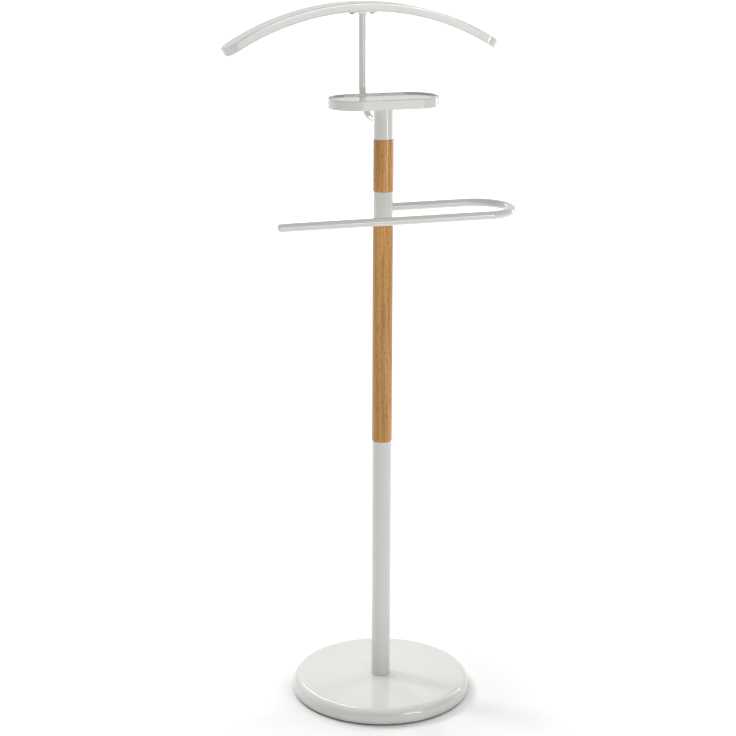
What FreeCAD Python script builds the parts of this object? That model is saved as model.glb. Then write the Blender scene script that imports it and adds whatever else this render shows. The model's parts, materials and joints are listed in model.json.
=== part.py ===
import FreeCAD
import Part
import math
import os

# Valet stand: a weighted round base, a post of steel tube and wood sections screwed end to end,
# a U-shaped trouser bar, a small tray and an arched hanger on a bent rod.
# Millimetres. Origin on the post's axis at the floor, +Z up, +X along the hanger's length,
# +Y to the back, where the hanger rod stands.

# ---------------------------------------------------------------- driving dimensions
SLIDE_GAP = 0.05          # radial clearance between pieces that slip or screw into each other
SCREW_GAP = 0.3           # radial clearance round a screw's shank
OVERRUN = 1.0             # how far a cutting shape reaches past the face it cuts

# Post sections, from the floor up: the visible length of each
BASE_TOP = 25.5
LOWER_TUBE_LENGTH = 393.0
LONG_WOOD_LENGTH = 340.5
COLLAR_LENGTH = 50.0
SHORT_WOOD_LENGTH = 78.0
UPPER_TUBE_LENGTH = 58.5  # its top 10.5 mm are inside the tray's rim
TUBE_RADIUS = 15.0
TUBE_WALL = 1.5
TUBE_END_ROUND = 0.35
WOOD_RADIUS = 15.5
WOOD_END_CHAMFER = 0.6

# Base
BASE_RADIUS = 140.0
BASE_EDGE_RADIUS = 12.0
BASE_SHEET = 1.3
BASE_LIP_HEIGHT = 3.5     # lower edge of the cover above the floor
BASE_BEAD_RADIUS = 1.3    # rolled lower edge of the cover
BASE_BEAD_THICKNESS = 2.3 # metal across the rolled edge, from outside to inside
BASE_NECK_DEPTH = 0.7     # groove above the rolled edge
BASE_NECK_SLOPE = 0.9     # height over which the rim comes out again above the groove
BASE_BOLT_GAP = 0.5       # radial clearance of the holes round the base bolt
PLATE_RADIUS = 135.5
PLATE_SHEET = 1.0
PLATE_INSET = 1.5         # plate's underside above the cover's lower edge
PLATE_RECESS_RADIUS = 26.0
PLATE_RECESS_HEIGHT = 12.0
PLATE_RECESS_SLOPE = 7.0
BALLAST_RADIUS = 112.0
BALLAST_CHAMFER = 2.0
PAD_RADIUS = 11.0
PAD_EDGE_ROUND = 1.0
PAD_CIRCLE_RADIUS = 112.0
PAD_COUNT = 5

# Threaded joints of the post (M8 stud, drilled plug in each tube end, insert in each wood end)
STUD_RADIUS = 3.95
STUD_LENGTH = 38.0
PLUG_LENGTH = 14.0
PLUG_RECESS = 0.4
PLUG_CHAMFER = 0.5
STUD_CHAMFER = 0.7
INSERT_RADIUS = 6.0
INSERT_LENGTH = 20.0
INSERT_FLANGE_RADIUS = 8.0
INSERT_FLANGE_THICKNESS = 1.2
STUD_TIP_ROOM = 6.0       # empty bore past each insert

# Trouser bar
BAR_RADIUS = 6.0
BAR_WALL = 1.2
BAR_BEND_RADIUS = 52.0
BAR_LEFT_END = -186.5     # end of the tube: the plug's dome stands past it
BAR_BEND_CENTRE = 130.0
BAR_INSET = 3.0           # x where the bar's fixed end stops inside the collar
BAR_PLUG_STEM_LENGTH = 14.0
BAR_PLUG_RIM = 0.8
BAR_PLUG_DOME_HEIGHT = 3.7

# Tray
TRAY_LENGTH = 169.5
TRAY_WIDTH = 84.0
TRAY_HEIGHT = 14.5
TRAY_DEPTH = 2.5          # from the rim's top down to the plate
TRAY_SKIRT_SHEET = 1.5
TRAY_FOLD_WIDTH = 3.0     # the sheet turned back on itself at the rim's top
TRAY_FOLD_ROUND = 1.45
TRAY_SKIRT_ROUND = 0.6
TRAY_PLATE_SHEET = 1.5
TRAY_PLATE_ROUND = 0.4

# Hanger rod and hanger
ROD_RADIUS = 5.65
ROD_OFFSET = 105.0        # rod axis behind the post's axis
ROD_BEND_RADIUS = 50.0
ROD_ENTRY_HEIGHT = 908.0  # height of the rod's horizontal run
ROD_INSET = 2.0           # y where the rod's fixed end stops inside the upper tube
HANGER_TOP = 1078.7
HANGER_ARCH_RADIUS = 400.0
HANGER_LENGTH = 438.0
HANGER_WIDTH = 39.0
HANGER_THICKNESS = 13.5
SCREW_SPACING = 32.0
ROD_PLATE_LENGTH = 48.0
ROD_PLATE_THICKNESS = 2.5
ROD_PLATE_WIDTH = 18.0
ROD_FLARE = 2.0
ROD_FLARE_LENGTH = 4.0
HANGER_SCREW_RADIUS = 2.0
HANGER_SCREW_GRIP = 9.0   # how far each screw goes into the hanger
HANGER_SCREW_HEAD_RADIUS = 3.9
HANGER_SCREW_HEAD_HEIGHT = 2.4
HANGER_SCREW_HEAD_ROUND = 1.1
HANGER_SCREW_SOCKET_FLATS = 2.5
HANGER_SCREW_SOCKET_DEPTH = 1.4

# ---------------------------------------------------------------- derived levels
LOWER_TUBE_TOP = BASE_TOP + LOWER_TUBE_LENGTH
LONG_WOOD_TOP = LOWER_TUBE_TOP + LONG_WOOD_LENGTH
COLLAR_TOP = LONG_WOOD_TOP + COLLAR_LENGTH
SHORT_WOOD_TOP = COLLAR_TOP + SHORT_WOOD_LENGTH
UPPER_TUBE_TOP = SHORT_WOOD_TOP + UPPER_TUBE_LENGTH
BAR_HEIGHT = (LONG_WOOD_TOP + COLLAR_TOP) / 2.0
TRAY_TOP = UPPER_TUBE_TOP + TRAY_PLATE_SHEET + TRAY_DEPTH
TRAY_BOTTOM = TRAY_TOP - TRAY_HEIGHT
TUBE_BORE = TUBE_RADIUS - TUBE_WALL

X = FreeCAD.Vector(1, 0, 0)
Y = FreeCAD.Vector(0, 1, 0)
Z = FreeCAD.Vector(0, 0, 1)
ORIGIN = FreeCAD.Vector(0, 0, 0)


# ---------------------------------------------------------------- shape helpers
def save(node, shape):
    """Write one sub-part to its own STEP file."""
    shape.exportStep("parts/" + node + ".step")


def at(x, y, z):
    return FreeCAD.Vector(x, y, z)


def rod(radius, z_low, z_high, x=0.0, y=0.0):
    """Vertical cylinder between two heights."""
    return Part.makeCylinder(radius, z_high - z_low, at(x, y, z_low), Z)


def ring(outer, inner, z_low, z_high, x=0.0, y=0.0):
    """Vertical cylinder with a through bore."""
    return rod(outer, z_low, z_high, x, y).cut(rod(inner, z_low - OVERRUN, z_high + OVERRUN, x, y))


def turned(segments):
    """Solid of revolution about Z from a closed profile of edges in the XZ plane."""
    face = Part.Face(Part.Wire(segments))
    return face.revolve(ORIGIN, Z, 360)


def line(r1, z1, r2, z2):
    return Part.LineSegment(at(r1, 0, z1), at(r2, 0, z2)).toShape()


def arc(r1, z1, r2, z2, r3, z3):
    return Part.Arc(at(r1, 0, z1), at(r2, 0, z2), at(r3, 0, z3)).toShape()


def polygon_profile(points):
    """Closed chain of straight edges through (radius, height) points."""
    closed = points + [points[0]]
    return [line(a[0], a[1], b[0], b[1]) for a, b in zip(closed, closed[1:])]


def edges_at_height(shape, z):
    """Circular and straight edges lying wholly in the plane at height z."""
    found = []
    for edge in shape.Edges:
        box = edge.BoundBox
        if abs(box.ZMin - z) < 1e-4 and abs(box.ZMax - z) < 1e-4:
            found.append(edge)
    return found


def circles_of_radius(shape, radius):
    """Full circular edges of the given radius."""
    rim = 2 * math.pi * radius
    return [edge for edge in shape.Edges if abs(edge.Length - rim) < 0.01]


def hex_prism(across_flats, z_low, z_high, x=0.0, y=0.0):
    """Vertical hexagonal prism."""
    corner = across_flats / math.sqrt(3.0)
    angles = [math.radians(60 * k) for k in range(7)]
    outline = [at(x + corner * math.cos(a), y + corner * math.sin(a), z_low) for a in angles]
    return Part.Face(Part.makePolygon(outline)).extrude(at(0, 0, z_high - z_low))


def racetrack(length, width, z, centre=ORIGIN):
    """Flat face with two straight sides along X and two half-round ends."""
    half = width / 2.0
    run = length / 2.0 - half
    right = centre.x + run
    left = centre.x - run
    edges = [
        Part.LineSegment(at(left, centre.y - half, z), at(right, centre.y - half, z)).toShape(),
        Part.Arc(at(right, centre.y - half, z), at(right + half, centre.y, z),
                 at(right, centre.y + half, z)).toShape(),
        Part.LineSegment(at(right, centre.y + half, z), at(left, centre.y + half, z)).toShape(),
        Part.Arc(at(left, centre.y + half, z), at(left - half, centre.y, z),
                 at(left, centre.y - half, z)).toShape(),
    ]
    return Part.Face(Part.Wire(edges))


# ---------------------------------------------------------------- base
PLATE_UNDERSIDE = BASE_LIP_HEIGHT + PLATE_INSET
PLATE_TOP = PLATE_UNDERSIDE + PLATE_SHEET
RECESS_TOP = PLATE_RECESS_HEIGHT + PLATE_SHEET
BOLT_HEAD_HEIGHT = 5.3
BOLT_HEAD_FLATS = 13.0
BOLT_TIP_CHAMFER = 0.8
WASHER_RADIUS = 12.0
WASHER_THICKNESS = 1.6
SPRING_WASHER_RADIUS = 7.3
SPRING_WASHER_THICKNESS = 2.0
SPRING_WASHER_SPLIT = 1.2


def base_cover():
    """Pressed steel cover: flat top, large edge radius, upright rim with a rolled lip."""
    outer = BASE_RADIUS
    inner = outer - BASE_SHEET
    top = BASE_TOP
    under = top - BASE_SHEET
    centre_r = outer - BASE_EDGE_RADIUS
    centre_z = top - BASE_EDGE_RADIUS
    diagonal = math.sqrt(0.5)
    inner_edge = BASE_EDGE_RADIUS - BASE_SHEET
    bore = STUD_RADIUS + BASE_BOLT_GAP
    lip = BASE_LIP_HEIGHT
    bead_r = outer - BASE_BEAD_RADIUS
    bead_z = lip + BASE_BEAD_RADIUS
    bead_top = bead_z + BASE_BEAD_RADIUS
    bead_inner = outer - BASE_BEAD_THICKNESS
    neck = outer - BASE_NECK_DEPTH
    rim_low = bead_top + BASE_NECK_SLOPE
    fold_top = rim_low + inner - bead_inner
    return turned([
        line(bore, top, centre_r, top),
        arc(centre_r, top, centre_r + BASE_EDGE_RADIUS * diagonal,
            centre_z + BASE_EDGE_RADIUS * diagonal, outer, centre_z),
        line(outer, centre_z, outer, rim_low),
        line(outer, rim_low, neck, bead_top),
        line(neck, bead_top, bead_r, bead_top),
        arc(bead_r, bead_top, outer, bead_z, bead_r, lip),
        line(bead_r, lip, bead_inner, lip),
        line(bead_inner, lip, bead_inner, rim_low),
        line(bead_inner, rim_low, inner, fold_top),
        line(inner, fold_top, inner, centre_z),
        arc(inner, centre_z, centre_r + inner_edge * diagonal,
            centre_z + inner_edge * diagonal, centre_r, under),
        line(centre_r, under, bore, under),
        line(bore, under, bore, top),
    ])


def base_plate():
    """Sheet-steel underside, dished up at the centre so the bolt head clears the floor."""
    bore = STUD_RADIUS + BASE_BOLT_GAP
    low = PLATE_UNDERSIDE
    rise = PLATE_RECESS_RADIUS
    foot = rise + PLATE_RECESS_SLOPE
    bend_set = PLATE_SHEET * 0.6
    return turned(polygon_profile([
        (bore, RECESS_TOP),
        (rise, RECESS_TOP),
        (foot, PLATE_TOP),
        (PLATE_RADIUS, PLATE_TOP),
        (PLATE_RADIUS, low),
        (foot - bend_set, low),
        (rise - bend_set, PLATE_RECESS_HEIGHT),
        (bore, PLATE_RECESS_HEIGHT),
    ]))


def ballast_disc():
    """Cast weight between the underside plate and the cover."""
    disc = ring(BALLAST_RADIUS, STUD_RADIUS + BASE_BOLT_GAP, RECESS_TOP, BASE_TOP - BASE_SHEET)
    return disc.makeChamfer(BALLAST_CHAMFER, circles_of_radius(disc, BALLAST_RADIUS))


def anti_slip_pads():
    """Round pads that the stand rests on."""
    pads = []
    for k in range(PAD_COUNT):
        angle = 2 * math.pi * k / PAD_COUNT + math.pi / 2
        x = PAD_CIRCLE_RADIUS * math.cos(angle)
        y = PAD_CIRCLE_RADIUS * math.sin(angle)
        pad = rod(PAD_RADIUS, 0.0, PLATE_UNDERSIDE, x, y)
        pads.append(pad.makeFillet(PAD_EDGE_ROUND, edges_at_height(pad, 0.0)))
    return Part.makeCompound(pads)


def base_bolt():
    """Hexagon bolt that clamps plate, ballast and cover to the post."""
    head_top = PLATE_RECESS_HEIGHT - WASHER_THICKNESS - SPRING_WASHER_THICKNESS
    tip = BASE_TOP + PLUG_LENGTH
    head = hex_prism(BOLT_HEAD_FLATS, head_top - BOLT_HEAD_HEIGHT, head_top)
    shank = rod(STUD_RADIUS, head_top, tip)
    shank = shank.makeChamfer(BOLT_TIP_CHAMFER, edges_at_height(shank, tip))
    return head.fuse(shank).removeSplitter()


def base_washer():
    low = PLATE_RECESS_HEIGHT - WASHER_THICKNESS
    return ring(WASHER_RADIUS, STUD_RADIUS + SCREW_GAP, low, PLATE_RECESS_HEIGHT)


def base_spring_washer():
    """Split spring washer under the bolt head."""
    high = PLATE_RECESS_HEIGHT - WASHER_THICKNESS
    low = high - SPRING_WASHER_THICKNESS
    washer = ring(SPRING_WASHER_RADIUS, STUD_RADIUS + SCREW_GAP, low, high)
    split = Part.makeBox(SPRING_WASHER_RADIUS + OVERRUN, SPRING_WASHER_SPLIT,
                         SPRING_WASHER_THICKNESS + 2 * OVERRUN,
                         at(0, -SPRING_WASHER_SPLIT / 2, low - OVERRUN))
    return washer.cut(split)


# ---------------------------------------------------------------- post
def tube(z_low, z_high):
    """Steel tube section with slightly eased outer edges."""
    shape = ring(TUBE_RADIUS, TUBE_BORE, z_low, z_high)
    return shape.makeFillet(TUBE_END_ROUND, circles_of_radius(shape, TUBE_RADIUS))


def plug(z_low, z_high):
    """Drilled and tapped plug pressed into a tube end."""
    outer = TUBE_BORE - SLIDE_GAP
    shape = ring(outer, STUD_RADIUS + SLIDE_GAP, z_low, z_high)
    return shape.makeChamfer(PLUG_CHAMFER, circles_of_radius(shape, outer))


def plug_at_bottom(tube_low):
    return plug(tube_low + PLUG_RECESS, tube_low + PLUG_RECESS + PLUG_LENGTH)


def plug_at_top(tube_high):
    return plug(tube_high - PLUG_RECESS - PLUG_LENGTH, tube_high - PLUG_RECESS)


def insert_cavity(end_z, inward):
    """Space that a threaded insert and the stud's tip take out of a wood end."""
    flange_depth = INSERT_FLANGE_THICKNESS + SLIDE_GAP
    spans = [
        (INSERT_FLANGE_RADIUS + SLIDE_GAP, flange_depth),
        (INSERT_RADIUS + SLIDE_GAP, INSERT_LENGTH + SLIDE_GAP),
        (STUD_RADIUS + 2 * SCREW_GAP, INSERT_LENGTH + STUD_TIP_ROOM),
    ]
    cavity = None
    for radius, reach in spans:
        outside = end_z - inward * OVERRUN
        inside = end_z + inward * reach
        z_low = min(outside, inside)
        z_high = max(outside, inside)
        piece = rod(radius, z_low, z_high)
        cavity = piece if cavity is None else cavity.fuse(piece)
    return cavity


def wood(z_low, z_high):
    """Turned wood section with bevelled ends, drilled for an insert at each end."""
    body = rod(WOOD_RADIUS, z_low, z_high)
    rims = edges_at_height(body, z_low) + edges_at_height(body, z_high)
    body = body.makeChamfer(WOOD_END_CHAMFER, rims)
    return body.cut(insert_cavity(z_low, 1)).cut(insert_cavity(z_high, -1))


def insert(end_z, inward):
    """Flanged threaded insert, flush with the wood's end face."""
    flange_end = end_z + inward * INSERT_FLANGE_THICKNESS
    far_end = end_z + inward * INSERT_LENGTH
    flange = rod(INSERT_FLANGE_RADIUS, min(end_z, flange_end), max(end_z, flange_end))
    sleeve = rod(INSERT_RADIUS, min(end_z, far_end), max(end_z, far_end))
    bore = rod(STUD_RADIUS + SLIDE_GAP, min(end_z, far_end) - OVERRUN, max(end_z, far_end) + OVERRUN)
    return flange.fuse(sleeve).cut(bore).removeSplitter()


def joint_studs():
    """Headless studs, one across each joint of the post."""
    studs = []
    for joint, tube_side in ((LOWER_TUBE_TOP, -1), (LONG_WOOD_TOP, 1),
                             (COLLAR_TOP, -1), (SHORT_WOOD_TOP, 1)):
        tube_end = joint + tube_side * (PLUG_LENGTH + PLUG_RECESS)
        wood_end = joint - tube_side * (STUD_LENGTH - PLUG_LENGTH - PLUG_RECESS)
        low = min(tube_end, wood_end)
        high = max(tube_end, wood_end)
        stud = rod(STUD_RADIUS, low, high)
        rims = edges_at_height(stud, low) + edges_at_height(stud, high)
        studs.append(stud.makeChamfer(STUD_CHAMFER, rims))
    return Part.makeCompound(studs)


def collar_tube():
    """Tube section with a hole in its right side for the trouser bar."""
    hole = Part.makeCylinder(BAR_RADIUS + SLIDE_GAP, TUBE_RADIUS, at(TUBE_RADIUS / 2, 0, BAR_HEIGHT), X)
    return tube(LONG_WOOD_TOP, COLLAR_TOP).cut(hole)


def upper_tube():
    """Tube section with a hole in its back for the hanger rod."""
    start = at(0, TUBE_RADIUS / 2, ROD_ENTRY_HEIGHT)
    hole = Part.makeCylinder(ROD_RADIUS + SLIDE_GAP, TUBE_RADIUS, start, Y)
    return tube(SHORT_WOOD_TOP, UPPER_TUBE_TOP).cut(hole)


# ---------------------------------------------------------------- trouser bar
def bar_shape(radius, left_end, right_end):
    """Solid rod along the bar's route: long front run, half-round turn, short back run."""
    front_y = -2 * BAR_BEND_RADIUS
    centre = at(BAR_BEND_CENTRE, -BAR_BEND_RADIUS, BAR_HEIGHT)
    front = Part.makeCylinder(radius, BAR_BEND_CENTRE - left_end, at(left_end, front_y, BAR_HEIGHT), X)
    back = Part.makeCylinder(radius, BAR_BEND_CENTRE - right_end, at(right_end, 0, BAR_HEIGHT), X)
    turn = Part.makeTorus(BAR_BEND_RADIUS, radius, centre, Z, 0, 360, 360)
    right_half = Part.makeBox(BAR_BEND_RADIUS * 2, BAR_BEND_RADIUS * 4, radius * 4,
                              at(BAR_BEND_CENTRE, -BAR_BEND_RADIUS * 3, BAR_HEIGHT - radius * 2))
    return front.fuse([turn.common(right_half), back])


def trouser_bar():
    outer = bar_shape(BAR_RADIUS, BAR_LEFT_END, BAR_INSET)
    inner = bar_shape(BAR_RADIUS - BAR_WALL, BAR_LEFT_END - OVERRUN, BAR_INSET - OVERRUN)
    return outer.cut(inner)


def trouser_bar_end_plug():
    """Domed plug in the bar's free end."""
    front_y = -2 * BAR_BEND_RADIUS
    stem_radius = BAR_RADIUS - BAR_WALL - SLIDE_GAP
    head_length = BAR_PLUG_RIM + BAR_PLUG_DOME_HEIGHT
    dome_end = BAR_LEFT_END - head_length
    sphere_radius = (BAR_RADIUS ** 2 + BAR_PLUG_DOME_HEIGHT ** 2) / (2 * BAR_PLUG_DOME_HEIGHT)
    head = Part.makeCylinder(BAR_RADIUS, head_length, at(dome_end, front_y, BAR_HEIGHT), X)
    sphere = Part.makeSphere(sphere_radius, at(dome_end + sphere_radius, front_y, BAR_HEIGHT))
    stem = Part.makeCylinder(stem_radius, BAR_PLUG_STEM_LENGTH, at(BAR_LEFT_END, front_y, BAR_HEIGHT), X)
    return head.common(sphere).fuse(stem).removeSplitter()


# ---------------------------------------------------------------- tray
def tray_core(inset, z_low, z_high):
    """Racetrack prism that clears the tray's inside, set in from its outline."""
    face = racetrack(TRAY_LENGTH - 2 * inset, TRAY_WIDTH - 2 * inset, z_low)
    return face.extrude(at(0, 0, z_high - z_low))


def tray_rim():
    """Skirt hanging below the plate, and above it the sheet folded back into a round edge."""
    band = tray_core(0.0, TRAY_BOTTOM, TRAY_TOP)
    band = band.cut(tray_core(TRAY_FOLD_WIDTH, TRAY_BOTTOM - OVERRUN, TRAY_TOP + OVERRUN))
    band = band.cut(tray_core(TRAY_SKIRT_SHEET, TRAY_BOTTOM - OVERRUN, UPPER_TUBE_TOP))
    band = band.makeFillet(TRAY_FOLD_ROUND, edges_at_height(band, TRAY_TOP))
    return band.makeFillet(TRAY_SKIRT_ROUND, edges_at_height(band, TRAY_BOTTOM))


def tray_plate():
    """Flat floor of the tray, welded inside the rim and resting on the upper tube."""
    plate_top = UPPER_TUBE_TOP + TRAY_PLATE_SHEET
    plate = tray_core(TRAY_FOLD_WIDTH + SLIDE_GAP, UPPER_TUBE_TOP, plate_top)
    return plate.makeFillet(TRAY_PLATE_ROUND, edges_at_height(plate, plate_top))


def tray_stud():
    """Threaded stud welded under the plate, screwed into the upper tube's plug."""
    low = UPPER_TUBE_TOP - PLUG_LENGTH
    stud = rod(STUD_RADIUS, low, UPPER_TUBE_TOP)
    return stud.makeChamfer(STUD_CHAMFER, edges_at_height(stud, low))


# ---------------------------------------------------------------- hanger
HANGER_SEAT = HANGER_TOP - HANGER_THICKNESS
ROD_PLATE_LOW = HANGER_SEAT - ROD_PLATE_THICKNESS
ARCH_CENTRE_Z = HANGER_TOP - HANGER_ARCH_RADIUS
UNDERSIDE_RADIUS = HANGER_ARCH_RADIUS - HANGER_THICKNESS


def end_angle():
    """Angle from the crown to where each half-round end starts."""
    half_width = HANGER_WIDTH / 2.0
    angle = math.asin(HANGER_LENGTH / 2.0 / HANGER_ARCH_RADIUS)
    for _ in range(20):
        reach = HANGER_LENGTH / 2.0 - half_width * math.cos(angle)
        angle = math.asin(reach / HANGER_ARCH_RADIUS)
    return angle


def hanger_arch():
    """The hanger between its ends: a sector of a ring as wide as the hanger."""
    half = math.degrees(end_angle())
    plane_x = FreeCAD.Placement(at(0, ROD_OFFSET + HANGER_WIDTH / 2, ARCH_CENTRE_Z),
                                FreeCAD.Rotation(X, 90))
    outer = Part.makeCylinder(HANGER_ARCH_RADIUS, HANGER_WIDTH, ORIGIN, Z, 2 * half)
    inner = Part.makeCylinder(UNDERSIDE_RADIUS, HANGER_WIDTH * 3, at(0, 0, -HANGER_WIDTH))
    sector = outer.cut(inner)
    sector.rotate(ORIGIN, Z, 90 - half)
    sector.Placement = plane_x.multiply(sector.Placement)
    return sector


def hanger_end(side):
    """Half-round end, square to the arch where it meets it."""
    half_disc = Part.makeCylinder(HANGER_WIDTH / 2.0, HANGER_THICKNESS, ORIGIN, Z, 180)
    half_disc.rotate(ORIGIN, Z, -90)
    half_disc.translate(at(0, 0, UNDERSIDE_RADIUS))
    half_disc.rotate(ORIGIN, Y, math.degrees(end_angle()))
    if side < 0:
        half_disc = half_disc.mirror(ORIGIN, X)
    half_disc.translate(at(0, ROD_OFFSET, ARCH_CENTRE_Z))
    return half_disc


def hanger_body():
    """Arched bar with round ends, seated on the rod's plate and drilled for its screws."""
    body = hanger_arch().fuse([hanger_end(1), hanger_end(-1)]).removeSplitter()
    seat = racetrack(ROD_PLATE_LENGTH + 2 * SCREW_GAP, ROD_PLATE_WIDTH + 2 * SCREW_GAP,
                     ROD_PLATE_LOW, at(0, ROD_OFFSET, 0))
    body = body.cut(seat.extrude(at(0, 0, ROD_PLATE_THICKNESS)))
    for x in (-SCREW_SPACING / 2, SCREW_SPACING / 2):
        body = body.cut(rod(HANGER_SCREW_RADIUS + SLIDE_GAP, HANGER_SEAT - OVERRUN,
                            HANGER_SEAT + HANGER_SCREW_GRIP, x, ROD_OFFSET))
    return body


def rod_top_plate():
    """Plate welded on the rod's top, screwed to the hanger from below."""
    face = racetrack(ROD_PLATE_LENGTH, ROD_PLATE_WIDTH, ROD_PLATE_LOW, at(0, ROD_OFFSET, 0))
    plate = face.extrude(at(0, 0, ROD_PLATE_THICKNESS))
    for x in (-SCREW_SPACING / 2, SCREW_SPACING / 2):
        plate = plate.cut(rod(HANGER_SCREW_RADIUS + SCREW_GAP, ROD_PLATE_LOW - OVERRUN,
                              HANGER_SEAT + OVERRUN, x, ROD_OFFSET))
    return plate


def hanger_screws():
    """Pan-head screws up through the plate into the hanger."""
    head_low = ROD_PLATE_LOW - HANGER_SCREW_HEAD_HEIGHT
    shank_top = HANGER_SEAT + HANGER_SCREW_GRIP - OVERRUN
    screws = []
    for x in (-SCREW_SPACING / 2, SCREW_SPACING / 2):
        head = rod(HANGER_SCREW_HEAD_RADIUS, head_low, ROD_PLATE_LOW, x, ROD_OFFSET)
        head = head.makeFillet(HANGER_SCREW_HEAD_ROUND, edges_at_height(head, head_low))
        shank = rod(HANGER_SCREW_RADIUS, ROD_PLATE_LOW, shank_top, x, ROD_OFFSET)
        socket = hex_prism(HANGER_SCREW_SOCKET_FLATS, head_low - OVERRUN,
                           head_low + HANGER_SCREW_SOCKET_DEPTH, x, ROD_OFFSET)
        screws.append(head.fuse(shank).cut(socket).removeSplitter())
    return Part.makeCompound(screws)


def hanger_rod():
    """Upright rod that turns forward at its foot into the upper tube, flared at its top."""
    bend_top = ROD_ENTRY_HEIGHT + ROD_BEND_RADIUS
    bend_y = ROD_OFFSET - ROD_BEND_RADIUS
    upright = rod(ROD_RADIUS, bend_top, ROD_PLATE_LOW, 0, ROD_OFFSET)
    foot = Part.makeCylinder(ROD_RADIUS, bend_y - ROD_INSET, at(0, ROD_INSET, ROD_ENTRY_HEIGHT), Y)
    turn = Part.makeTorus(ROD_BEND_RADIUS, ROD_RADIUS, at(0, bend_y, bend_top), X, 0, 360, 360)
    lower_back = Part.makeBox(ROD_RADIUS * 4, ROD_BEND_RADIUS * 2, ROD_BEND_RADIUS * 2,
                              at(-ROD_RADIUS * 2, bend_y, bend_top - ROD_BEND_RADIUS * 2))
    flare = Part.makeCone(ROD_RADIUS, ROD_RADIUS + ROD_FLARE, ROD_FLARE_LENGTH,
                          at(0, ROD_OFFSET, ROD_PLATE_LOW - ROD_FLARE_LENGTH), Z)
    return upright.fuse([turn.common(lower_back), foot, flare]).removeSplitter()


# ---------------------------------------------------------------- write every sub-part
os.makedirs("parts", exist_ok=True)

save("base_cover", base_cover())
save("base_plate", base_plate())
save("ballast_disc", ballast_disc())
save("anti_slip_pads", anti_slip_pads())
save("base_bolt", base_bolt())
save("base_washer", base_washer())
save("base_spring_washer", base_spring_washer())

save("lower_tube", tube(BASE_TOP, LOWER_TUBE_TOP))
save("lower_tube_foot_plug", plug_at_bottom(BASE_TOP))
save("lower_tube_top_plug", plug_at_top(LOWER_TUBE_TOP))
save("long_wood_section", wood(LOWER_TUBE_TOP, LONG_WOOD_TOP))
save("long_wood_insert_bottom", insert(LOWER_TUBE_TOP, 1))
save("long_wood_insert_top", insert(LONG_WOOD_TOP, -1))
save("collar_tube", collar_tube())
save("collar_plug_bottom", plug_at_bottom(LONG_WOOD_TOP))
save("collar_plug_top", plug_at_top(COLLAR_TOP))
save("short_wood_section", wood(COLLAR_TOP, SHORT_WOOD_TOP))
save("short_wood_insert_bottom", insert(COLLAR_TOP, 1))
save("short_wood_insert_top", insert(SHORT_WOOD_TOP, -1))
save("upper_tube", upper_tube())
save("upper_tube_plug_bottom", plug_at_bottom(SHORT_WOOD_TOP))
save("upper_tube_plug_top", plug_at_top(UPPER_TUBE_TOP))
save("joint_studs", joint_studs())

save("trouser_bar", trouser_bar())
save("trouser_bar_end_plug", trouser_bar_end_plug())

save("tray_rim", tray_rim())
save("tray_plate", tray_plate())
save("tray_stud", tray_stud())

save("hanger_rod", hanger_rod())
save("rod_top_plate", rod_top_plate())
save("hanger_screws", hanger_screws())
save("hanger_body", hanger_body())
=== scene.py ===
import json
import math

import bmesh
import bpy
from mathutils import Matrix, Vector


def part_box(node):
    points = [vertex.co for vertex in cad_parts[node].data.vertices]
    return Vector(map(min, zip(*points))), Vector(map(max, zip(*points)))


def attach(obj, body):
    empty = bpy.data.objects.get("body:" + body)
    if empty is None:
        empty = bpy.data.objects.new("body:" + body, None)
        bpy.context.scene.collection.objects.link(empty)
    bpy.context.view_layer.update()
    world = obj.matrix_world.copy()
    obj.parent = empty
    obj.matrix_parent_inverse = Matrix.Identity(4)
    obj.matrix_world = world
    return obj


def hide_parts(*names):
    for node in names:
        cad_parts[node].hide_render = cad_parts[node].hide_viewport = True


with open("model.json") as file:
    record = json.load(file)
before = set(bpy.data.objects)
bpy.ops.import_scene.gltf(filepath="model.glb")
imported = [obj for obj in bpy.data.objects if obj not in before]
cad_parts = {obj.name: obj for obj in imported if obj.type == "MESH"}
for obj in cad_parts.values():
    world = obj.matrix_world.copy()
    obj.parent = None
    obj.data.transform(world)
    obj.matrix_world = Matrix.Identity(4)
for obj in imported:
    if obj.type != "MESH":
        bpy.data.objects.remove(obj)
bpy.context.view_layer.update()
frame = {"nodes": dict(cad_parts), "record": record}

# The valet stand's looks: paint, wood and metal on the CAD nodes, a hanger with rounded
# edges, weld beads, a pale floor and soft studio light. Metres, in the CAD model's own frame.

# ---------------------------------------------------------------- places read from the frame
BODY = "root"
HANGER_LOW, HANGER_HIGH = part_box("hanger_body")
BAR_LOW, BAR_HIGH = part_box("trouser_bar")
PLATE_LOW, PLATE_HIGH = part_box("rod_top_plate")

TUBE_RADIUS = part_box("upper_tube")[1].x
BAR_RADIUS = (BAR_HIGH.z - BAR_LOW.z) / 2
BAR_HEIGHT = (BAR_HIGH.z + BAR_LOW.z) / 2
ROD_RADIUS = 0.00565
ROD_OFFSET = (PLATE_LOW.y + PLATE_HIGH.y) / 2
ROD_ENTRY_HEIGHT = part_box("hanger_rod")[0].z + ROD_RADIUS

# Hanger: an arched bar of this outer radius, with half-round ends
ARCH_RADIUS = 0.400
HANGER_THICKNESS = 0.0135
HANGER_EDGE_ROUND = 0.0011
HANGER_STEPS_ALONG = 150
HANGER_STEPS_END = 20
HANGER_STEPS_ACROSS = 10
HANGER_EDGE_STEPS = 5
HANGER_SIDE_STEPS = 5
END_ANGLE_PASSES = 20
HANGER_HALF_WIDTH = (HANGER_HIGH.y - HANGER_LOW.y) / 2
HANGER_HALF_LENGTH = (HANGER_HIGH.x - HANGER_LOW.x) / 2
ARCH_CENTRE_Z = HANGER_HIGH.z - ARCH_RADIUS

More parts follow.
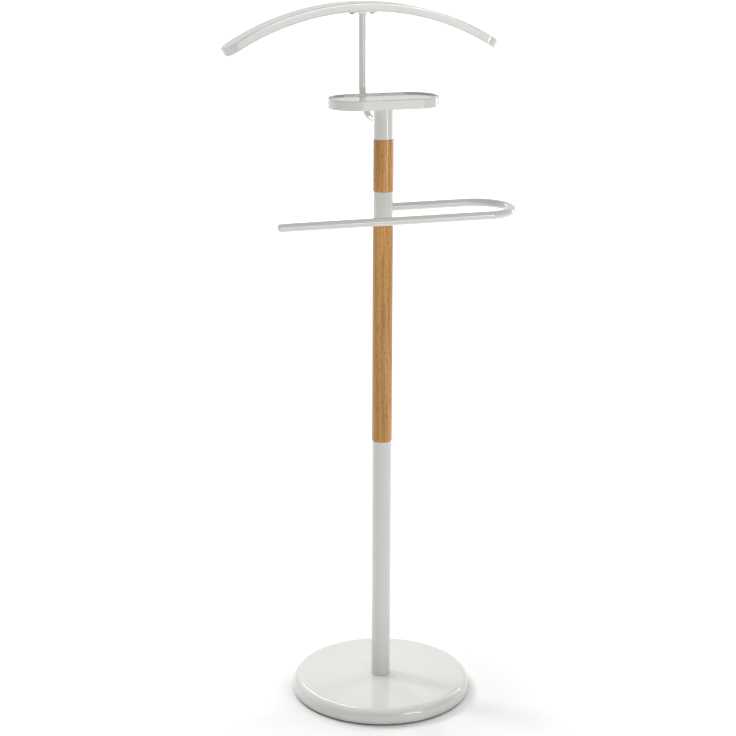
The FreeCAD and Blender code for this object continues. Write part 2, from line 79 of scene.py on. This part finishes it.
# Weld beads where the trouser bar and the hanger rod enter the post
WELD_RADIUS = 0.0011
WELD_SIDES = 12
WELD_STEPS = 192
WELD_DIP = 0.18              # how much thinner a bead is between its ripples
WELD_UNEVENNESS = 0.05       # slow change of thickness round a bead
WELD_UNEVEN_TURNS = 5
BAR_WELD_RIPPLES = 30
ROD_WELD_RIPPLES = 28

# Floor: how far it reaches, and the painted light it gives off, from least to most over a distance
FLOOR_REACH = 40.0
# Painted shadow: the floor gives off no light round this point, a little to the front and right of the
# post, so it is darker round the base
PAINTED_SHADOW_CENTRE = (0.010, -0.014, 0.0)
NEAR_GLOW = (0.0, 0.38)
NEAR_GLOW_DISTANCE = (0.17, 0.48)
# Painted light: the floor gives off more light behind the stand
BEHIND_GLOW = (0.0, 0.35)
BEHIND_GLOW_DISTANCE = (0.4, 2.4)

# Studio surround: the heights and depths, as parts of a unit direction, over which its tone changes
WALL_BAND = (0.20, 0.36)
DEPTH_BAND = (-0.35, 0.45)
CEILING_BAND = (0.40, 0.85)
SOFTBOX_COLOUR = (1.0, 0.985, 0.955)

# Camera: its place, and its turn from looking level along +Y
CAMERA_PLACE = (-0.8425, -2.5606, 1.3055)
CAMERA_YAW = math.radians(17.75)
CAMERA_PITCH = math.radians(-15.97)
CAMERA_ROLL = math.radians(0.17)
CAMERA_LENS = 89.47
CAMERA_SENSOR = 36.0


# ---------------------------------------------------------------- node helpers
class Shader:
    """A material's node tree, built up by short calls."""

    def __init__(self, name):
        self.material = bpy.data.materials.new(name)
        self.material.use_nodes = True
        self.tree = self.material.node_tree
        self.surface = self.tree.nodes["Principled BSDF"]
        coordinates = self.tree.nodes.new("ShaderNodeTexCoord")
        self.position = coordinates.outputs["Object"]

    def node(self, kind, **settings):
        made = self.tree.nodes.new(kind)
        for key, value in settings.items():
            setattr(made, key, value)
        return made

    def link(self, source, target):
        self.tree.links.new(source, target)

    def stretched(self, scale, turn=(0, 0, 0)):
        """The position, turned and scaled along each axis."""
        mapping = self.node("ShaderNodeMapping")
        mapping.inputs["Scale"].default_value = scale
        mapping.inputs["Rotation"].default_value = turn
        self.link(self.position, mapping.inputs["Vector"])
        return mapping.outputs["Vector"]

    def noise(self, scale, detail=2.0, roughness=0.5, vector=None):
        made = self.node("ShaderNodeTexNoise")
        made.inputs["Scale"].default_value = scale
        made.inputs["Detail"].default_value = detail
        made.inputs["Roughness"].default_value = roughness
        self.link(vector or self.position, made.inputs["Vector"])
        return made.outputs["Fac"]

    def ramp(self, value, stops):
        """Colours or greys along a value: stops are (place, colour)."""
        made = self.node("ShaderNodeValToRGB")
        elements = made.color_ramp.elements
        while len(elements) < len(stops):
            elements.new(0.5)
        for element, (place, colour) in zip(elements, stops):
            element.position = place
            element.color = (*colour, 1.0)
        self.link(value, made.inputs["Fac"])
        return made.outputs["Color"]

    def spread(self, value, low, high, source_low=0.3, source_high=0.7):
        """Maps a noise value to a range."""
        made = self.node("ShaderNodeMapRange")
        made.inputs["From Min"].default_value = source_low
        made.inputs["From Max"].default_value = source_high
        made.inputs["To Min"].default_value = low
        made.inputs["To Max"].default_value = high
        self.link(value, made.inputs["Value"])
        return made.outputs["Result"]

    def math(self, operation, first, second):
        made = self.node("ShaderNodeMath", operation=operation)
        for socket, value in zip(made.inputs, (first, second)):
            if isinstance(value, (int, float)):
                socket.default_value = value
            else:
                self.link(value, socket)
        return made.outputs["Value"]

    def mix(self, blend, factor, first, second):
        made = self.node("ShaderNodeMix", data_type="RGBA", blend_type=blend)
        for name, value in (("Factor", factor), ("A", first), ("B", second)):
            socket = [s for s in made.inputs if s.name == name and s.enabled][0]
            if isinstance(value, (int, float)):
                socket.default_value = value
            else:
                self.link(value, socket)
        return [s for s in made.outputs if s.enabled][0]

    def bump(self, height, strength, distance, under=None):
        made = self.node("ShaderNodeBump")
        made.inputs["Strength"].default_value = strength
        made.inputs["Distance"].default_value = distance
        self.link(height, made.inputs["Height"])
        if under is not None:
            self.link(under, made.inputs["Normal"])
        return made.outputs["Normal"]

    def set(self, **values):
        """Constants on the surface shader, by socket name with _ for spaces."""
        for key, value in values.items():
            self.surface.inputs[key.replace("_", " ")].default_value = value

    def drive(self, **sources):
        """Links to the surface shader, by socket name with _ for spaces."""
        for key, source in sources.items():
            self.link(source, self.surface.inputs[key.replace("_", " ")])


# ---------------------------------------------------------------- materials
def paint(name, dark, light):
    """Gloss powder coat: faint mottling, orange-peel ripple and a clear top layer."""
    shader = Shader(name)
    mottle = shader.noise(14.0, detail=3.0)
    colour = shader.ramp(mottle, [(0.35, dark), (0.65, light)])
    specks = shader.noise(520.0, detail=1.0)
    dust = shader.ramp(specks, [(0.70, (1, 1, 1)), (0.80, (0.93, 0.93, 0.92))])
    colour = shader.mix("MULTIPLY", 0.5, colour, dust)
    gloss = shader.spread(shader.noise(45.0, detail=4.0), 0.16, 0.22)
    peel = shader.noise(900.0, detail=1.5)
    waves = shader.noise(160.0, detail=1.0)
    ripple = shader.bump(peel, 0.04, 0.00005)
    normal = shader.bump(waves, 0.04, 0.00015, under=ripple)
    shader.set(Metallic=0.0, IOR=1.5, Coat_Weight=0.8, Coat_Roughness=0.05)
    shader.drive(Base_Color=colour, Roughness=gloss, Normal=normal)
    return shader.material


def wood(name):
    """Lacquered hardwood with the grain up the post: growth rings, fibres and short pores."""
    shader = Shader(name)
    wander = shader.noise(6.0, detail=2.0, vector=shader.stretched((1.0, 1.0, 0.35)))
    leaning = shader.stretched((1.0, 1.0, 0.055), turn=(0.05, -0.035, 0.7))
    split = shader.node("ShaderNodeSeparateXYZ")
    shader.link(leaning, split.inputs["Vector"])
    across = shader.math("ADD", split.outputs["X"], split.outputs["Z"])
    ring_wander = 0.016
    ring_rate = 1500.0
    bowed = shader.math("ADD", across, shader.math("MULTIPLY", wander, ring_wander))
    rings = shader.math("SINE", shader.math("MULTIPLY", bowed, ring_rate), 0.0)
    rings = shader.spread(rings, 0.0, 1.0, -1.0, 1.0)
    fibres = shader.noise(1.0, detail=4.0, roughness=0.6,
                          vector=shader.stretched((1100.0, 1100.0, 22.0)))
    streaks = shader.noise(1.0, detail=3.0, vector=shader.stretched((170.0, 170.0, 5.0)))
    pores = shader.noise(1.0, detail=2.0, roughness=0.7,
                         vector=shader.stretched((900.0, 900.0, 170.0)))
    body = shader.ramp(streaks, [(0.32, (0.430, 0.198, 0.039)), (0.50, (0.515, 0.256, 0.055)),
                                 (0.68, (0.605, 0.325, 0.082))])
    ring_tone = shader.ramp(rings, [(0.0, (0.80, 0.74, 0.62)), (0.55, (1.0, 1.0, 1.0))])
    body = shader.mix("MULTIPLY", 0.55, body, ring_tone)
    fibre_tone = shader.ramp(fibres, [(0.36, (0.72, 0.66, 0.56)), (0.58, (1.08, 1.06, 1.04))])
    body = shader.mix("MULTIPLY", 0.75, body, fibre_tone)
    pore_tone = shader.ramp(pores, [(0.36, (0.52, 0.42, 0.30)), (0.45, (1.0, 1.0, 1.0))])
    body = shader.mix("MULTIPLY", 0.8, body, pore_tone)
    gloss = shader.spread(fibres, 0.46, 0.34)
    grooves = shader.bump(pores, 0.22, 0.00012)
    normal = shader.bump(fibres, 0.18, 0.00010, under=grooves)
    shader.set(Metallic=0.0, IOR=1.45, Specular_IOR_Level=0.35)
    shader.set(Coat_Weight=0.6, Coat_Roughness=0.07)
    shader.drive(Base_Color=body, Roughness=gloss, Normal=normal)
    return shader.material


def metal(name, dark, light, low_gloss, high_gloss):
    """Plated steel: cloudy tone and fine turning marks."""
    shader = Shader(name)
    cloud = shader.noise(220.0, detail=4.0)
    colour = shader.ramp(cloud, [(0.3, dark), (0.7, light)])
    turning = shader.noise(1.0, detail=2.0, vector=shader.stretched((500.0, 500.0, 6000.0)))
    gloss = shader.spread(shader.noise(400.0, detail=3.0), low_gloss, high_gloss)
    shader.set(Metallic=1.0)
    shader.drive(Base_Color=colour, Roughness=gloss, Normal=shader.bump(turning, 0.15, 0.00005))
    return shader.material


def rough_black(name, dark, light, gloss, grain_scale, grain_depth):
    """Rubber or cast iron: dark, dull and grained."""
    gloss_change = 0.08
    shader = Shader(name)
    colour = shader.ramp(shader.noise(90.0, detail=4.0), [(0.3, dark), (0.7, light)])
    grain = shader.noise(grain_scale, detail=4.0, roughness=0.65)
    shader.set(Metallic=0.0)
    dullness = shader.spread(grain, gloss - gloss_change, gloss + gloss_change)
    shader.drive(Base_Color=colour, Roughness=dullness, Normal=shader.bump(grain, 0.5, grain_depth))
    return shader.material


def floor_surface(name):
    """Matte studio sweep, barely mottled, giving off painted light away from the stand and more behind
    it; the dark ring it leaves round the base is a painted shadow.
    """
    shader = Shader(name)
    mottle = shader.noise(3.0, detail=5.0)
    colour = shader.ramp(mottle, [(0.3, (0.84, 0.84, 0.84)), (0.7, (0.86, 0.86, 0.86))])
    fine = shader.noise(700.0, detail=3.0)
    # Painted shadow round the base: no emission close to the stand, rising outwards as painted light
    reach = shader.node("ShaderNodeVectorMath", operation="DISTANCE")
    shader.link(shader.position, reach.inputs[0])
    reach.inputs[1].default_value = PAINTED_SHADOW_CENTRE
    emission_round_painted_shadow = shader.spread(reach.outputs["Value"], *NEAR_GLOW, *NEAR_GLOW_DISTANCE)
    split = shader.node("ShaderNodeSeparateXYZ")
    shader.link(shader.position, split.inputs["Vector"])
    # Painted light: more emission behind the stand
    behind = shader.spread(split.outputs["Y"], *BEHIND_GLOW, *BEHIND_GLOW_DISTANCE)
    painted_floor_emission = shader.math("ADD", emission_round_painted_shadow, behind)
    shader.set(Metallic=0.0, Roughness=0.9, Specular_IOR_Level=0.1, Emission_Color=(1, 1, 1, 1))
    shader.drive(Base_Color=colour, Normal=shader.bump(fine, 0.1, 0.0001), Emission_Strength=painted_floor_emission)
    return shader.material


WHITE = paint("white_paint_gloss", (0.588, 0.580, 0.558), (0.608, 0.600, 0.578))
PLASTIC = paint("white_plastic_plug", (0.62, 0.615, 0.60), (0.65, 0.645, 0.63))
UNDERSIDE = paint("underside_paint", (0.030, 0.030, 0.033), (0.045, 0.045, 0.048))
WOOD = wood("lacquered_wood")
PLATED = metal("plated_steel", (0.42, 0.43, 0.44), (0.60, 0.61, 0.62), 0.28, 0.42)
SCREW = metal("screw_steel", (0.20, 0.20, 0.21), (0.34, 0.34, 0.35), 0.30, 0.45)
IRON = rough_black("cast_iron", (0.030, 0.030, 0.032), (0.060, 0.058, 0.056), 0.75, 350.0, 0.0004)
RUBBER = rough_black("pad_rubber", (0.012, 0.012, 0.013), (0.028, 0.028, 0.029), 0.80, 1400.0, 0.0001)

SLOT_MATERIALS = {
    "white_paint": WHITE,
    "white_plastic": PLASTIC,
    "white_lacquer": WHITE,
    "underside_paint": UNDERSIDE,
    "wood": WOOD,
    "plated_steel": PLATED,
    "screw_steel": SCREW,
    "ballast_iron": IRON,
    "pad_rubber": RUBBER,
}


def finish_cad_nodes():
    """Every carried-over node gets the material of its slot."""
    for part in frame["record"]["subparts"]:
        node = frame["nodes"][part["node"]]
        for material_slot in node.material_slots:
            material_slot.material = SLOT_MATERIALS[part["material_slot"]]


# ---------------------------------------------------------------- mesh helpers
def piece(name, mesh_data, material):
    """Wraps finished mesh data as a piece that rides on the stand."""
    mesh = bpy.data.meshes.new(name)
    mesh_data.to_mesh(mesh)
    mesh_data.free()
    mesh.shade_smooth()
    mesh.materials.append(material)
    made = bpy.data.objects.new(name, mesh)
    bpy.context.scene.collection.objects.link(made)
    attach(made, BODY)
    return made


def skin(rings, close_path):
    """Quads between successive rings of points, each ring closed on itself."""
    mesh = bmesh.new()
    loops = [[mesh.verts.new(p) for p in ring] for ring in rings]
    pairs = list(zip(loops, loops[1:]))
    if close_path:
        pairs.append((loops[-1], loops[0]))
    count = len(loops[0])
    for first, second in pairs:
        for k in range(count):
            following = (k + 1) % count
            mesh.faces.new((first[k], first[following], second[following], second[k]))
    bmesh.ops.recalc_face_normals(mesh, faces=mesh.faces)
    return mesh


def weld_bead(name, path, ripples):
    """Closed bead of weld along a path, swelling once per ripple."""
    rings = []
    count = len(path)
    for k, point in enumerate(path):
        tangent = (path[(k + 1) % count] - path[k - 1]).normalized()
        side = tangent.orthogonal().normalized()
        other = tangent.cross(side)
        swell = 1.0 - WELD_DIP + WELD_DIP * abs(math.sin(math.pi * ripples * k / count))
        swell += WELD_UNEVENNESS * math.sin(WELD_UNEVEN_TURNS * math.tau * k / count + 1.0)
        ring = []
        for j in range(WELD_SIDES):
            angle = math.tau * j / WELD_SIDES
            out = math.cos(angle) * side + math.sin(angle) * other
            ring.append(point + WELD_RADIUS * swell * out)
        rings.append(ring)
    return piece(name, skin(rings, True), WHITE)


def tube_on_post(run, radius, height):
    """Where a thin round bar, leaving the post along the unit vector run, meets the post's skin."""
    across = Vector((-run.y, run.x, 0.0))
    path = []
    for k in range(WELD_STEPS):
        angle = math.tau * k / WELD_STEPS
        offset = radius * math.cos(angle)
        reach = math.sqrt(TUBE_RADIUS ** 2 - offset ** 2)
        path.append(run * reach + across * offset + Vector((0, 0, height + radius * math.sin(angle))))
    return path


# ---------------------------------------------------------------- hanger
def hanger_end_angle():
    """Angle from the crown to the start of each half-round end."""
    angle = math.asin(HANGER_HALF_LENGTH / ARCH_RADIUS)
    for _ in range(END_ANGLE_PASSES):
        angle = math.asin((HANGER_HALF_LENGTH - HANGER_HALF_WIDTH * math.cos(angle)) / ARCH_RADIUS)
    return angle


def hanger_stations():
    """Places from tip to tip: angle on the arch, run past it, half width, and the side's normal."""
    end = hanger_end_angle()
    stations = []
    for k in range(HANGER_STEPS_END):
        sweep = math.pi / 2 * (1.0 - k / HANGER_STEPS_END)
        stations.append((-end, -math.sin(sweep), math.cos(sweep)))
    for k in range(HANGER_STEPS_ALONG + 1):
        stations.append((end * (2.0 * k / HANGER_STEPS_ALONG - 1.0), 0.0, 1.0))
    for k in range(1, HANGER_STEPS_END + 1):
        sweep = math.pi / 2 * k / HANGER_STEPS_END
        stations.append((end, math.sin(sweep), math.cos(sweep)))
    return stations


def hanger_side_profile():
    """Side of the hanger from top to underside, as (in from the outline, radius) pairs."""
    high = ARCH_RADIUS - HANGER_EDGE_ROUND
    low = ARCH_RADIUS - HANGER_THICKNESS + HANGER_EDGE_ROUND
    profile = []
    for k in range(HANGER_EDGE_STEPS + 1):
        turn = math.pi / 2 * k / HANGER_EDGE_STEPS
        inset = HANGER_EDGE_ROUND * (1.0 - math.sin(turn))
        profile.append((inset, high + HANGER_EDGE_ROUND * math.cos(turn)))
    for k in range(1, HANGER_SIDE_STEPS):
        profile.append((0.0, high + (low - high) * k / HANGER_SIDE_STEPS))
    for k in range(HANGER_EDGE_STEPS + 1):
        turn = math.pi / 2 * k / HANGER_EDGE_STEPS
        inset = HANGER_EDGE_ROUND * (1.0 - math.cos(turn))
        profile.append((inset, low - HANGER_EDGE_ROUND * math.sin(turn)))
    return profile


def hanger_shell():
    """The arched hanger with rounded edges, following the CAD body."""
    profile = hanger_side_profile()
    rings = []
    for angle, run, share in hanger_stations():
        up = Vector((math.sin(angle), 0, math.cos(angle)))
        lengthwise = Vector((math.cos(angle), 0, -math.sin(angle)))
        sides = {}
        for side in (-1, 1):
            sides[side] = []
            for inset, radius in profile:
                reach = HANGER_HALF_WIDTH - inset
                sides[side].append(Vector((0, ROD_OFFSET, ARCH_CENTRE_Z)) + up * radius
                                   + lengthwise * run * reach + Vector((0, side * share * reach, 0)))
        ring = list(sides[-1])
        for first, last in ((sides[-1][-1], sides[1][-1]), (sides[1][0], sides[-1][0])):
            across = [first.lerp(last, k / HANGER_STEPS_ACROSS) for k in range(1, HANGER_STEPS_ACROSS)]
            if first is sides[-1][-1]:
                ring += across + list(reversed(sides[1]))
            else:
                ring += across
        rings.append(ring)
    mesh = skin(rings, False)
    bmesh.ops.remove_doubles(mesh, verts=mesh.verts, dist=1e-6)
    bmesh.ops.recalc_face_normals(mesh, faces=mesh.faces)
    made = piece("hanger_shell", mesh, WHITE)
    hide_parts("hanger_body")


# ---------------------------------------------------------------- stage
def stage_floor():
    mesh = bpy.data.meshes.new("studio_floor")
    corners = [(x * FLOOR_REACH, y * FLOOR_REACH, 0) for x, y in ((-1, -1), (1, -1), (1, 1), (-1, 1))]
    mesh.from_pydata(corners, [], [(0, 1, 2, 3)])
    mesh.materials.append(floor_surface("floor_matte_painted_emission"))
    floor = bpy.data.objects.new("studio_floor", mesh)
    bpy.context.scene.collection.objects.link(floor)


def round_the_stand(bearing, distance, height):
    """A place at a bearing round the stand, in degrees from +X, anticlockwise from above."""
    angle = math.radians(bearing)
    return Vector((distance * math.cos(angle), distance * math.sin(angle), height))


def softbox(name, bearing, distance, height, width, tall, radiance, aim):
    """Rectangular light that faces the post's axis at the height aim."""
    light = bpy.data.lights.new(name, "AREA")
    light.shape = "RECTANGLE"
    light.size = width
    light.size_y = tall
    light.energy = radiance * math.pi * width * tall
    light.color = SOFTBOX_COLOUR
    made = bpy.data.objects.new(name, light)
    made.location = round_the_stand(bearing, distance, height)
    to_stand = Vector((0, 0, aim)) - made.location
    made.rotation_euler = to_stand.to_track_quat("-Z", "Y").to_euler()
    made.visible_camera = False
    bpy.context.scene.collection.objects.link(made)


def base_spot(name, bearing, distance, height, softness, cone, share):
    """Soft spot on the base alone: share is the light it adds there, as a part of full white."""
    light = bpy.data.lights.new(name, "SPOT")
    light.spot_size = math.radians(cone)
    light.spot_blend = 1.0
    light.shadow_soft_size = softness
    made = bpy.data.objects.new(name, light)
    made.visible_glossy = False
    made.location = round_the_stand(bearing, distance, height)
    reach = made.location.length
    light.energy = share * 4 * math.pi ** 2 * reach ** 3 / height
    made.rotation_euler = (-made.location).to_track_quat("-Z", "Y").to_euler()
    bpy.context.scene.collection.objects.link(made)


def eased(tree, value, band):
    """Map Range node that eases from its To Min to its To Max as the value crosses a band."""
    made = tree.nodes.new("ShaderNodeMapRange")
    made.interpolation_type = "SMOOTHSTEP"
    made.inputs["From Min"].default_value, made.inputs["From Max"].default_value = band
    tree.links.new(value, made.inputs["Value"])
    return made


def sky(overhead, front, low_back, back):
    """Studio surround: a soft ceiling, a dim side where the camera stands and a white wall behind."""
    world = bpy.data.worlds.new("studio")
    bpy.context.scene.world = world
    world.use_nodes = True
    tree = world.node_tree
    background = tree.nodes["Background"]
    coordinates = tree.nodes.new("ShaderNodeTexCoord")
    split = tree.nodes.new("ShaderNodeSeparateXYZ")
    tree.links.new(coordinates.outputs["Generated"], split.inputs["Vector"])

    wall = eased(tree, split.outputs["Z"], WALL_BAND)
    wall.inputs["To Min"].default_value = low_back
    wall.inputs["To Max"].default_value = back
    depth = eased(tree, split.outputs["Y"], DEPTH_BAND)
    depth.inputs["To Min"].default_value = front
    tree.links.new(wall.outputs["Result"], depth.inputs["To Max"])
    lift = eased(tree, split.outputs["Z"], CEILING_BAND)

    blend = tree.nodes.new("ShaderNodeMix")
    blend.data_type = "FLOAT"
    tree.links.new(lift.outputs["Result"], blend.inputs["Factor"])
    tree.links.new(depth.outputs["Result"], blend.inputs["A"])
    blend.inputs["B"].default_value = overhead
    tree.links.new(blend.outputs["Result"], background.inputs["Color"])


def camera():
    """Camera in front, to the left and above, looking slightly down."""
    level = math.cos(CAMERA_PITCH)
    forward = Vector((math.sin(CAMERA_YAW) * level, math.cos(CAMERA_YAW) * level, math.sin(CAMERA_PITCH)))
    right = Vector((math.cos(CAMERA_YAW), -math.sin(CAMERA_YAW), 0))
    up = right.cross(forward)
    turned_right = right * math.cos(CAMERA_ROLL) + up * math.sin(CAMERA_ROLL)
    turned_up = up * math.cos(CAMERA_ROLL) - right * math.sin(CAMERA_ROLL)
    data = bpy.data.cameras.new("camera")
    data.sensor_width = CAMERA_SENSOR
    data.lens = CAMERA_LENS
    made = bpy.data.objects.new("camera", data)
    columns = Matrix((turned_right, turned_up, -forward)).transposed()
    made.matrix_world = Matrix.Translation(CAMERA_PLACE) @ columns.to_4x4()
    bpy.context.scene.collection.objects.link(made)
    bpy.context.scene.camera = made


# ---------------------------------------------------------------- build
finish_cad_nodes()
hanger_shell()
bar_seam = tube_on_post(Vector((1, 0, 0)), BAR_RADIUS, BAR_HEIGHT)
weld_bead("weld_bar_to_collar", bar_seam, BAR_WELD_RIPPLES)
rod_seam = tube_on_post(Vector((0, 1, 0)), ROD_RADIUS, ROD_ENTRY_HEIGHT)
weld_bead("weld_rod_to_tube", rod_seam, ROD_WELD_RIPPLES)

stage_floor()
sky(overhead=0.79, front=0.21, low_back=0.86, back=1.08)
softbox("back_left_box", bearing=97.0, distance=0.67, height=0.81,
        width=0.08, tall=0.68, radiance=9.0, aim=0.05)
softbox("front_tall_box", bearing=-73.0, distance=2.93, height=0.75,
        width=0.80, tall=0.50, radiance=1.6, aim=0.95)
softbox("front_bar_box", bearing=-73.0, distance=3.00, height=1.14,
        width=0.90, tall=0.50, radiance=7.0, aim=0.78)
softbox("front_strip_low", bearing=-61.0, distance=3.00, height=0.37,
        width=0.26, tall=0.24, radiance=14.0, aim=0.80)
softbox("front_strip_high", bearing=-61.0, distance=3.00, height=0.76,
        width=0.26, tall=0.28, radiance=14.0, aim=1.00)
softbox("front_base_box", bearing=-60.0, distance=2.20, height=1.24,
        width=0.60, tall=0.18, radiance=7.0, aim=0.02)
softbox("right_box", bearing=17.0, distance=1.40, height=0.80,
        width=0.10, tall=0.80, radiance=6.0, aim=0.10)
base_spot("spot_back_left", bearing=135.0, distance=1.10, height=1.45,
          softness=0.18, cone=30.0, share=0.22)
base_spot("spot_right", bearing=20.0, distance=1.10, height=1.30,
          softness=0.20, cone=30.0, share=0.06)
base_spot("spot_foot", bearing=-105.0, distance=1.00, height=1.20,
          softness=0.10, cone=12.0, share=0.12)
camera()

bpy.context.scene.view_settings.view_transform = "Standard"
